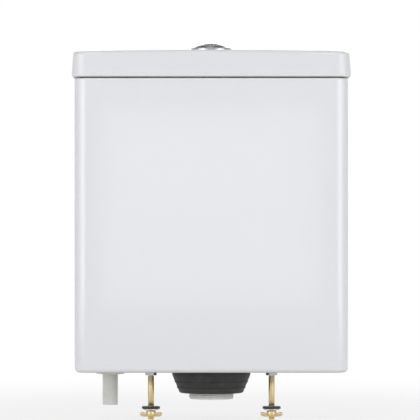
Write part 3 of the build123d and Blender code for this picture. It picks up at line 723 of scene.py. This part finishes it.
    def piece(self, name: str, material: bpy.types.Material, smooth: float = 40.0) -> bpy.types.Object:
        """Turn the solid into an object.

        Args:
            name: the piece's name.
            material: its finish.
            smooth: edges flatter than this many degrees shade smoothly.

        Returns:
            The object, at the origin.
        """
        bmesh.ops.recalc_face_normals(self.mesh, faces=self.mesh.faces[:])
        for face in self.mesh.faces:
            face.smooth = True
        for edge in self.mesh.edges:
            edge.smooth = edge.calc_face_angle(0.0) < radians(smooth)
        data = bpy.data.meshes.new(name)
        self.mesh.to_mesh(data)
        self.mesh.free()
        data.materials.append(material)
        made = bpy.data.objects.new(name, data)
        bpy.context.scene.collection.objects.link(made)
        return made


@dataclass(frozen=True)
class Thread:
    """Sizes of a helical thread: crest radius, depth, pitch and the bore inside it."""

    crest: float
    depth: float
    pitch: float
    bore: float
    turns: int = 72
    rows: int = 8

    def radius_at(self, above_low: float, below_high: float, angle: float) -> float:
        """Radius of the thread's surface.

        Args:
            above_low: distance above the lower end.
            below_high: distance below the upper end.
            angle: place around the axis in radians.

        Returns:
            The radius, with the ridge dying away at both ends.
        """
        phase = (above_low / self.pitch - angle / tau) % 1.0
        ridge = 1.0 - abs(2.0 * phase - 1.0)
        ridge = min(max((ridge - 0.14) / 0.72, 0.0), 1.0)
        fade = min(above_low, below_high) / self.pitch
        return self.crest - self.depth * (1.0 - ridge * min(fade, 1.0))


def hexagon(flats: float, centre: Point2) -> list[Point2]:
    """Plan of a hexagon with two flats along X, from its size across flats."""
    radius = flats / sqrt(3.0)
    return [(centre[0] + radius * cos(tau * n / 6), centre[1] + radius * sin(tau * n / 6)) for n in range(6)]


@dataclass
class Assembly:
    """What every sub-assembly does: dress its CAD nodes and place its own pieces."""

    frame: dict
    materials: dict[Slot, bpy.types.Material]
    made: list[bpy.types.Object] = field(default_factory=list)

    def nodes(self) -> dict[Slot, str]:
        """Names of the CAD nodes by the slot of their finish, parted by spaces."""
        raise NotImplementedError

    def dress(self) -> int:
        """Give each CAD node of this sub-assembly its finish and count them."""
        count = 0
        for slot, names in self.nodes().items():
            for name in names.split():
                data = self.frame["nodes"][name].data
                data.materials.clear()
                data.materials.append(self.materials[slot])
                count += 1
        return count

    def put(self, solid: Solid, name: str, body: Body, slot: Slot, *replaced: str) -> bpy.types.Object:
        """Place a finished solid on a body.

        Args:
            solid: the shape.
            name: the new piece's name.
            body: the body that it rides on.
            slot: the material slot that it takes its finish from.
            replaced: CAD nodes that it stands for.

        Returns:
            The piece.
        """
        piece = solid.piece(name, self.materials[slot])
        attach(piece, body.value)
        if replaced:
            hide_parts(*replaced)
        self.made.append(piece)
        return piece

    def build(self) -> None:
        """Build the pieces of this sub-assembly that replace or join its CAD nodes."""

    def report(self) -> None:
        """Dress, build and log each piece."""
        title = type(self).__name__
        LOG.info("%s: %d frame nodes dressed", title, self.dress())
        self.build()
        for piece in self.made:
            LOG.info("%s: %s, %d faces", title, piece.name, len(piece.data.polygons))


@dataclass
class CeramicShell(Assembly):
    """Tank, lid and the pads between them."""

    lug_reach: float = 0.0075
    lid_band: float = 0.0005

    def nodes(self) -> dict[Slot, str]:
        """The shell's CAD nodes."""
        return {Slot.CERAMIC: "tank", Slot.CLEAR: "lid_pads"}

    def build(self) -> None:
        """Dress the lid, whose bare band is at its own lower edge."""
        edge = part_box("lid")[0].z + self.lug_reach
        glaze = Glaze("lid_glaze", GLAZE_WHITE, bare_low=edge, bare_height=self.lid_band)
        data = self.frame["nodes"]["lid"].data
        data.materials.clear()
        data.materials.append(glaze.material())


@dataclass
class ButtonSet(Assembly):
    """Domed bezel, its two buttons with their stems and rods, and what clamps them to the lid."""

    lid_top: float = 0.4205
    dome: float = 0.046
    rise: float = 0.0138
    rim: float = 0.0265
    recess: float = 0.0211
    button: float = 0.0208
    button_edge: float = 0.003
    split: float = 0.003
    gap: float = 0.0004
    spacing: float = 0.010
    stem: float = 0.0035
    stem_foot: float = 0.3965
    rod: float = 0.002
    rod_depth: float = 0.014
    ball: float = 0.003
    ball_level: float = 0.2945
    guide_bottom: float = 0.4035
    barrel: Thread = Thread(0.0195, 0.0008, 0.0025, 0.0172, 96, 8)
    barrel_foot: float = 0.3905
    lip: float = 0.0155
    nut: float = 0.027
    nut_bottom: float = 0.3985
    nut_top: float = 0.4065
    wing: float = 0.006
    wing_width: float = 0.008
    coil_radius: float = 0.0052
    coil_wire: float = 0.0005
    coil_turns: float = 6.0
    travel: float = 0.0045

    def nodes(self) -> dict[Slot, str]:
        """The button set's CAD nodes that keep their shape."""
        return {
            Slot.RUBBER: "bezel_gasket",
            Slot.WHITE: "button_guide",
        }

    def level(self, radius: float) -> float:
        """Height of the dome at a radius."""
        return self.lid_top + self.rise - self.dome + sqrt(self.dome**2 - radius**2)

    def build(self) -> None:
        """Build the bezel, the nut, both buttons and both rods."""
        self._bezel()
        self._nut()
        self._button(-1, self.split - self.gap / 2, Body.FULL_BUTTON, "full")
        self._button(1, self.split + self.gap / 2, Body.HALF_BUTTON, "half")
        self._rod(-1, Body.FULL_BUTTON, Slot.BLUE, "full")
        self._rod(1, Body.HALF_BUTTON, Slot.GREY, "half")
        self._spring(-1, "full")
        self._spring(1, "half")

    def _bezel(self) -> None:
        """Ring with a soft outer edge over a threaded barrel."""
        soft, lip = 0.0011, 0.0004
        steps = 22
        reach = self.rim - soft - self.recess - lip
        dome = [(self.recess + lip + reach * n / steps, 0.0) for n in range(steps + 1)]
        outline = [(r, self.level(r)) for r, _ in dome]
        edge_z = self.level(self.rim - soft)
        corner = [radians(90 - 90 * n / 6) for n in range(1, 7)]
        outline += [(self.rim - soft + soft * cos(a), edge_z - soft + soft * sin(a)) for a in corner]
        outline += [(self.rim, self.lid_top + 0.0003), (self.rim - 0.0003, self.lid_top)]
        land, hollow = self.barrel.crest - 0.001, self.lid_top + 0.0012
        outline += [(land, self.lid_top), (land, hollow)]
        top = self.level(self.recess + lip)
        inner = [radians(180 - 90 * n / 4) for n in range(0, 4)]
        outline += [(self.recess, hollow)]
        outline += [(self.recess + lip + lip * cos(a), top - lip + lip * sin(a)) for a in inner]
        bezel = Solid().lathe(outline, 160)
        bezel.thread(self.barrel, self.barrel_foot, self.lid_top + 0.001)
        bore = self.barrel.bore + 0.0002
        foot = [(self.lip, self.barrel_foot), (bore, self.barrel_foot), (bore, self.guide_bottom)]
        bezel.lathe(foot + [(self.lip, self.guide_bottom)], 96)
        self.put(bezel, "bezel_ring", Body.LID, Slot.CHROME, "button_bezel")

    def _nut(self) -> None:
        """Clamping nut with four finger wings and a ribbed rim."""
        hole = self.barrel.crest + 0.0001
        rim, low, high = self.nut, self.nut_bottom, self.nut_top
        nut = Solid().ring(hole, rim, low, high)
        for turn in range(4):
            nut.block(rim - 0.001, rim + self.wing, self.wing_width, low, high, turn * 90)
        nut.ease(0.0007)
        for turn in range(32):
            if turn % 8:
                nut.block(rim - 0.0005, rim + 0.0007, 0.0014, low + 0.001, high - 0.001, turn * 11.25)
        self.put(nut, "bezel_clamp_nut", Body.LID, Slot.WHITE, "bezel_nut")

    def _button(self, side: int, inner: float, body: Body, name: str) -> None:
        """One part of the split dome on its hollow stem.

        Args:
            side: -1 for the left part, 1 for the right.
            inner: where its straight edge lies.
            body: the body that it rides on.
            name: "full" or "half".
        """
        under = self.level(self.button) - self.button_edge
        steps = 26
        outline = [(self.button * n / steps, self.level(self.button * n / steps)) for n in range(steps + 1)]
        outline += [(self.button, under), (0.0, under)]
        cap = Solid().lathe(outline, 144).weld()
        cap.cut((inner, 0.0, 0.0), (-side, 0.0, 0.0)).ease(0.00032, 3)
        hole, roof = self.rod + 0.0001, self.stem_foot + self.rod_depth
        stem = [(0.0, under + 0.0005), (self.stem, under + 0.0005), (self.stem, self.stem_foot)]
        stem += [(hole, self.stem_foot), (hole, roof), (0.0, roof)]
        cap.lathe(stem, 40, (side * self.spacing, 0.0))
        cap.weld()
        self.put(cap, f"{name}_button_cap", body, Slot.CHROME, f"{name}_flush_button")

    def _rod(self, side: int, body: Body, slot: Slot, name: str) -> None:
        """Threaded plastic rod with a ball end."""
        shape = Thread(self.rod, 0.00035, 0.0016, 0.0, 24, 6)
        centre = (side * self.spacing, 0.0)
        rod = Solid().thread(shape, self.ball_level + 0.002, self.stem_foot + self.rod_depth, centre)
        turns = [pi * n / 16 for n in range(17)]
        ball = [(self.ball * sin(turn), self.ball_level - self.ball * cos(turn)) for turn in turns]
        rod.lathe(ball, 32, centre).weld()
        self.put(rod, f"{name}_rod_threaded", body, slot, f"{name}_push_rod")

    def _spring(self, side: int, name: str) -> None:
        """Wire spring that spans the height of the CAD spring it replaces."""
        node = f"{name}_button_spring"
        low, high = (corner.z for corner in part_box(node))
        centre, wire = (side * self.spacing, 0.0), self.coil_wire
        spring = Solid().coil(self.coil_radius, wire, low + wire, high - wire, self.coil_turns, centre)
        piece = self.put(spring, f"{name}_coil_spring", Body.LID, Slot.STEEL, node)
        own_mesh(piece)


@dataclass
class FlushValve(Assembly):
    """Seat with its threaded tail, fixings, tower, levers, tube and floats."""

    floor: float = 0.014
    seat_bottom: float = 0.017
    seat_top: float = 0.022
    lip_top: float = 0.028
    cage_base: float = 0.032
    flange: float = 0.045
    lip: float = 0.0255
    lip_width: float = 0.003
    cage: float = 0.041
    ring_width: float = 0.007
    post_width: float = 0.012
    tail: Thread = Thread(0.0298, 0.0012, 0.00231, 0.0245, 128, 8)
    tail_foot: float = -0.038
    nut_bottom: float = -0.006
    nut_top: float = 0.004
    nut: float = 0.039
    lug: float = 0.003
    lug_width: float = 0.010
    washer: float = 0.052
    washer_foot: float = 0.042
    washer_depth: float = -0.030
    washer_top: float = 0.001
    tube: float = 0.015

    def nodes(self) -> dict[Slot, str]:
        """The flush valve's CAD nodes that keep their shape."""
        return {
            Slot.RUBBER: "valve_washer",
            Slot.WHITE: "valve_cage valve_head",
            Slot.STEEL: "lever_pins",
            Slot.BLUE: "full_flush_lever full_lift_yoke full_flush_float",
            Slot.GREY: "half_flush_lever half_lift_yoke half_flush_float",
            Slot.TUBE: "overflow_tube seal_retainer",
            Slot.SILICONE: "flush_seal",
        }

    def build(self) -> None:
        """Build the seat, its back nut, the thick washer and the tube's level rings."""
        self._seat()
        self._back_nut()
        self._thick_washer()
        self._level_rings()

    def _seat(self) -> None:
        """Flange, sealing lip, cage ring and the threaded tail."""
        outer = self.lip + self.lip_width
        bore = self.tail.bore
        section = [
            (bore, self.seat_bottom - 0.0005),
            (self.flange, self.seat_bottom),
            (self.flange, self.seat_top),
            (outer, self.seat_top),
            (outer, self.lip_top),
            (self.lip, self.lip_top),
            (self.lip, self.seat_top - 0.004),
            (bore, self.seat_top - 0.004),
        ]
        seat = Solid().lathe(section, 144)
        inner = self.cage - self.ring_width
        seat.ring(inner, self.cage, self.lip_top, self.cage_base, 144)
        near, far = inner + 0.0001, self.cage - 0.0001
        low, high = self.seat_top - 0.001, self.cage_base - 0.0005
        for turn in range(4):
            seat.block(near, far, self.post_width, low, high, 45 + 90 * turn)
        seat.ease(0.0005)
        near, far = self.cage - 0.0005, self.flange - 0.0012
        low, high = self.seat_top - 0.0005, self.seat_top + 0.003
        for turn in range(24):
            if turn % 6 != 3:
                seat.block(near, far, 0.0012, low, high, 15 * turn)
        seat.thread(self.tail, self.tail_foot, self.seat_bottom + 0.0008)
        self.put(seat, "seat_with_tail", Body.CISTERN, Slot.WHITE, "valve_seat")

    def _back_nut(self) -> None:
        """Ring nut with eight lugs."""
        hole = self.tail.crest + 0.0001
        rim, low, high = self.nut, self.nut_bottom, self.nut_top
        nut = Solid().ring(hole, rim, low, high, 128)
        for turn in range(8):
            nut.block(rim - 0.001, rim + self.lug, self.lug_width, low, high, 45 * turn)
        nut.ease(0.0008)
        self.put(nut, "seat_back_nut", Body.CISTERN, Slot.WHITE, "valve_backnut")

    def _thick_washer(self) -> None:
        """Soft tapered ring with rounded edges and two moulded sealing beads."""
        hole, pocket = self.tail.crest + 0.0003, self.nut + 2 * self.lug
        roof = self.nut_bottom - 0.0003
        section = [
            (hole, self.washer_depth),
            (self.washer_foot, self.washer_depth),
            (self.washer, self.nut_bottom),
            (self.washer, self.washer_top),
            (pocket, self.washer_top),
            (pocket, roof),
            (hole, roof),
        ]
        washer = Solid().lathe(section, 144).ease(0.0012, 3, 20.0)
        for share in (0.3, 0.62):
            radius = self.washer_foot + (self.washer - self.washer_foot) * share
            level = self.washer_depth + (self.nut_bottom - self.washer_depth) * share
            turns = [tau * n / 10 for n in range(10)]
            bead = [(radius + 0.0008 * cos(turn), level + 0.0008 * sin(turn)) for turn in turns]
            washer.lathe(bead, 144)
        self.put(washer, "pan_seal_ring", Body.CISTERN, Slot.RUBBER, "doughnut_washer")

    def _level_rings(self) -> None:
        """Raised rings on the overflow tube that mark the water's levels."""
        rings = Solid()
        for level in (0.196, 0.206, 0.216):
            rings.ring(self.tube - 0.0003, self.tube + 0.00035, level, level + 0.0009, 72)
        self.put(rings, "tube_level_rings", Body.FLUSH_TUBE, Slot.TUBE)


@dataclass
class FillValve(Assembly):
    """Threaded inlet, riser, head, float and lever of the valve that lets the water in."""

    axis_x: float = -0.134
    tail: Thread = Thread(0.01048, 0.00085, 0.001814, 0.0055, 64, 8)
    tail_foot: float = -0.046
    flange: float = 0.019
    flange_bottom: float = 0.017
    flange_top: float = 0.021
    socket: float = 0.012
    socket_top: float = 0.071
    riser: float = 0.0096
    riser_bottom: float = 0.047
    cap: float = 0.019
    cap_bottom: float = 0.270
    cap_top: float = 0.288

    def nodes(self) -> dict[Slot, str]:
        """The fill valve's CAD nodes that keep their shape."""
        return {
            Slot.WHITE: "fill_riser fill_head fill_backnut",
            Slot.TUBE: "silencer_tube",
            Slot.RED: "fill_cap",
            Slot.FLOAT: "fill_float fill_lever float_clip inlet_filter",
            Slot.RUBBER: "fill_washer fill_diaphragm",
            Slot.STEEL: "fill_lever_pin float_rod",
        }

    def build(self) -> None:
        """Build the shank and the cap's grip ribs."""
        self._shank()
        self._grip()

    def _shank(self) -> None:
        """Flanged socket with ribs over a threaded tail."""
        centre = (self.axis_x, 0.0)
        bore = self.tail.bore
        section = [
            (bore, self.flange_bottom - 0.0005),
            (self.flange, self.flange_bottom),
            (self.flange, self.flange_top),
            (self.socket, self.flange_top),
            (self.socket, self.socket_top),
            (self.riser, self.socket_top),
            (self.riser, self.riser_bottom),
            (bore, self.riser_bottom),
        ]
        shank = Solid().lathe(section, 80, centre).ease(0.0005)
        near = self.socket - 0.0005
        low, high = self.flange_top - 0.0005, self.flange_top + 0.011
        for turn in range(8):
            shank.block(near, self.socket + 0.0035, 0.0014, low, high, 45 * turn, centre)
        low, high = self.socket_top - 0.006, self.socket_top - 0.0006
        shank.ring(near, self.socket + 0.0012, low, high, 80, centre)
        shank.thread(self.tail, self.tail_foot, self.flange_bottom + 0.0005, centre)
        self.put(shank, "inlet_shank", Body.CISTERN, Slot.WHITE, "fill_shank")

    def _grip(self) -> None:
        """Ribs round the cap's skirt."""
        grip, centre = Solid(), (self.axis_x, 0.0)
        near, far = self.cap - 0.0004, self.cap + 0.0006
        low, high = self.cap_bottom + 0.001, self.cap_top - 0.004
        for turn in range(36):
            grip.block(near, far, 0.0012, low, high, 10 * turn, centre)
        self.put(grip, "cap_grip_ribs", Body.CISTERN, Slot.RED)


@dataclass
class CouplingKit(Assembly):
    """Bolts, wing nuts and washers that fix the tank to its pan."""

    place: float = 0.080
    bolt: Thread = Thread(0.004, 0.00058, 0.00125, 0.0, 36, 8)
    foot: float = -0.066
    shank_low: float = -0.0474
    shank_high: float = -0.0081
    head_level: float = 0.0226
    head_flats: float = 0.013
    head_height: float = 0.0053
    hub: float = 0.0065
    bore: float = 0.0035
    wing_bottom: float = -0.062
    wing_top: float = -0.053
    wing_thickness: float = 0.003

    def nodes(self) -> dict[Slot, str]:
        return {
            Slot.RUBBER: "bolt_cone_washers bolt_rubber_washers",
            Slot.STEEL: "bolt_steel_washers bolt_nuts",
        }

    def build(self) -> None:
        """Build both bolts and both wing nuts."""
        bolts, wings = Solid(), Solid()
        for side in (-1, 1):
            self._bolt(bolts, side)
        self.put(bolts.weld(), "threaded_pan_bolts", Body.CISTERN, Slot.ZINC, "pan_bolts")
        for side in (-1, 1):
            self._wing_nut(wings, side)
        self.put(wings, "cast_wing_nuts", Body.CISTERN, Slot.ZINC, "wing_nuts")

    def _bolt(self, bolts: Solid, side: int) -> None:
        """One bolt: chamfered head, threads and the bare shank between them.

        Args:
            bolts: the solid that it is added to.
            side: -1 or 1.
        """
        centre = (side * self.place, 0.0)
        top = self.head_level + self.head_height
        head = Solid().prism(hexagon(self.head_flats, centre), self.head_level, top)
        head.ease(0.0005)
        bolts.take(head)
        face, low, high = self.head_flats / 2 - 0.0012, top - 0.0002, top + 0.00001
        bolts.lathe([(0.0, low), (face, low), (face - 0.0004, high), (0.0, high)], 36, centre)
        bolts.thread(self.bolt, self.foot, self.shank_low + 0.0002, centre)
        bolts.thread(self.bolt, self.shank_high - 0.0002, self.head_level + 0.0002, centre)
        crest, low, high = self.bolt.crest, self.shank_low, self.shank_high
        shank = [(0.0, low), (crest - 0.0003, low), (crest, low + 0.0004)]
        shank += [(crest, high - 0.0004), (crest - 0.0003, high), (0.0, high)]
        bolts.lathe(shank, 48, centre)

    def _wing_nut(self, wings: Solid, side: int) -> None:
        """One wing nut: a tapered hub with two rounded ears.

        Args:
            wings: the solid that it is added to.
            side: -1 or 1.
        """
        x = side * self.place
        low, high = self.wing_bottom, self.wing_top
        one = Solid()
        hub = [(self.bore, low), (self.hub - 0.0006, low), (self.hub, high - 0.002)]
        hub += [(self.hub - 0.0012, high), (self.bore, high)]
        one.lathe(hub, 48, (x, 0.0))
        ear = [(0.0045, 0.0002), (0.0085, 0.0), (0.0122, 0.0004), (0.0143, 0.0018), (0.0150, 0.0038)]
        ear += [(0.0143, 0.0056), (0.0125, 0.0062), (0.0100, 0.0056), (0.0075, 0.0050), (0.0045, 0.0062)]
        half = self.wing_thickness / 2
        for hand in (-1, 1):
            one.slab([(x + hand * across, low + up) for across, up in ear], -half, half)
        wings.take(one.ease(0.0007, 3, 38.0))


@dataclass(frozen=True)
class Lamp:
    """One soft rectangular light, its sizes in metres and its power in watts."""

    name: str
    place: Colour
    aim: Colour
    size: Point2
    power: float

    def light(self) -> None:
        """Hang the light, facing its aim."""
        data = bpy.data.lights.new(self.name, "AREA")
        data.shape = "RECTANGLE"
        data.size, data.size_y = self.size
        data.energy = self.power
        lamp = bpy.data.objects.new(self.name, data)
        bpy.context.scene.collection.objects.link(lamp)
        lamp.location = self.place
        way = Vector(self.aim) - Vector(self.place)
        lamp.rotation_euler = way.to_track_quat("-Z", "Y").to_euler()


@dataclass
class Studio:
    """Pale floor, soft lights and the camera."""

    floor_level: float = -0.0661
    floor_half: float = 9.0
    camera_place: Colour = (-0.0017, -4.084, 0.212)
    frame_width: float = 0.5456
    distance: float = 4.0
    sensor: float = 36.0
    floor_near: float = 0.72
    floor_mirror: float = 0.5
    mirror_level: float = 0.66
    mirror_fall: float = 0.50
    light_level: float = 0.67
    light_fall: float = 0.31

    def build(self) -> None:
        """Make the stage, the lights and the camera."""
        self._floor()
        self._world()
        self._lights()
        self._camera()

    def _floor(self) -> None:
        """Pale floor whose far part is as white as the background."""
        material = bpy.data.materials.new("pale_floor")
        material.use_nodes = True
        sheet = Sheet(material.node_tree)
        path = sheet.node("ShaderNodeLightPath", {}, {})
        seen = Value(sheet, path.outputs["Is Camera Ray"])
        mirrored = Value(sheet, path.outputs["Is Glossy Ray"])
        reach = sheet.node("ShaderNodeVectorMath", {"operation": "LENGTH"}, {0: sheet.place()})
        far = Value(sheet, reach.outputs["Value"]).span(0.25, 1.1)
        grain = sheet.noise(300.0, 3.0, 0.6)
        colour = sheet.blend(grain, (0.86, 0.86, 0.865), (0.90, 0.90, 0.905))
        plain = sheet.node("ShaderNodeBsdfPrincipled", {}, {"Base Color": colour, "Roughness": 0.8})
        white = sheet.node("ShaderNodeEmission", {}, {"Color": (1.0, 1.0, 1.0, 1.0), "Strength": 1.0})
        share = seen * (self.floor_near + far * (1.0 - self.floor_near)) + mirrored * self.floor_mirror
        mix = sheet.node("ShaderNodeMixShader", {}, {0: share, 1: plain.outputs[0], 2: white.outputs[0]})
        sheet.node("ShaderNodeOutputMaterial", {}, {"Surface": mix.outputs[0]})
        half, level = self.floor_half, self.floor_level
        square = [(-half, -half), (half, -half), (half, half), (-half, half)]
        floor = Solid().prism(square, level - 0.01, level)
        floor.piece("studio_floor", material)

    def _world(self) -> None:
        """Even light all round; white behind the object, greyer overhead in reflections."""
        world = bpy.data.worlds.new("studio")
        bpy.context.scene.world = world
        world.use_nodes = True
        sheet = Sheet(world.node_tree)
        path = sheet.node("ShaderNodeLightPath", {}, {})
        camera, through, glossy = (
            Value(sheet, path.outputs[f"Is {kind} Ray"]) for kind in ("Camera", "Transmission", "Glossy")
        )
        plain = camera + through
        along = sheet.node("ShaderNodeTexCoord", {}, {}).outputs["Generated"]
        up = Value(sheet, sheet.node("ShaderNodeSeparateXYZ", {}, {0: along}).outputs["Z"])
        dim = self.mirror_level - up.span(0.03, 0.7) * self.mirror_fall
        light = 1.0 - plain - glossy
        soft = self.light_level - up.span(0.05, 0.85) * self.light_fall
        level = plain + glossy * dim + light * soft
        back = sheet.node("ShaderNodeBackground", {}, {"Color": (1.0, 1.0, 1.0, 1.0), "Strength": level})
        sheet.node("ShaderNodeOutputWorld", {}, {"Surface": back.outputs[0]})

    def _lights(self) -> None:
        """Front, sides, back and top."""
        centre, low, side = (0.0, 0.0, 0.2), (0.0, 0.0, 0.3), (0.0, 0.0, 0.25)
        lamps = [
            Lamp("front_soft", (-0.2, -3.3, 1.85), centre, (2.0, 0.9), 16.5),
            Lamp("front_card", (0.0, -5.2, 0.19), centre, (0.64, 0.64), 1.4),
            Lamp("left_low", (-2.3, -2.7, 0.47), low, (2.2, 1.0), 8.2),
            Lamp("right_low", (2.3, -2.7, 0.47), low, (2.2, 1.0), 8.2),
            Lamp("left_panel", (-1.9, -1.2, 0.40), side, (1.6, 0.9), 5.6),
            Lamp("right_panel", (1.9, -1.2, 0.40), side, (1.6, 0.9), 5.6),
            Lamp("back_soft", (0.4, 2.8, 1.6), centre, (2.0, 1.4), 20.0),
            Lamp("top_soft", (0.2, 0.6, 3.0), centre, (1.6, 1.6), 4.0),
        ]
        for lamp in lamps:
            lamp.light()

    def _camera(self) -> None:
        """Level camera far in front, framed as the photograph."""
        data = bpy.data.cameras.new("camera")
        data.sensor_width = self.sensor
        data.lens = self.sensor * self.distance / self.frame_width
        camera = bpy.data.objects.new("camera", data)
        camera.location = self.camera_place
        camera.rotation_euler = (radians(90.0), 0.0, 0.0)
        bpy.context.scene.collection.objects.link(camera)
        bpy.context.scene.camera = camera
        bpy.context.scene.view_settings.view_transform = "Standard"


def main() -> None:
    """Build the looks around the frame."""
    logging.basicConfig(level=logging.INFO, format="%(message)s")
    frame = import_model()
    materials = finishes()
    for kind in (CeramicShell, ButtonSet, FlushValve, FillValve, CouplingKit):
        kind(frame, materials).report()
    Studio().build()


if __name__ == "__main__":
    main()
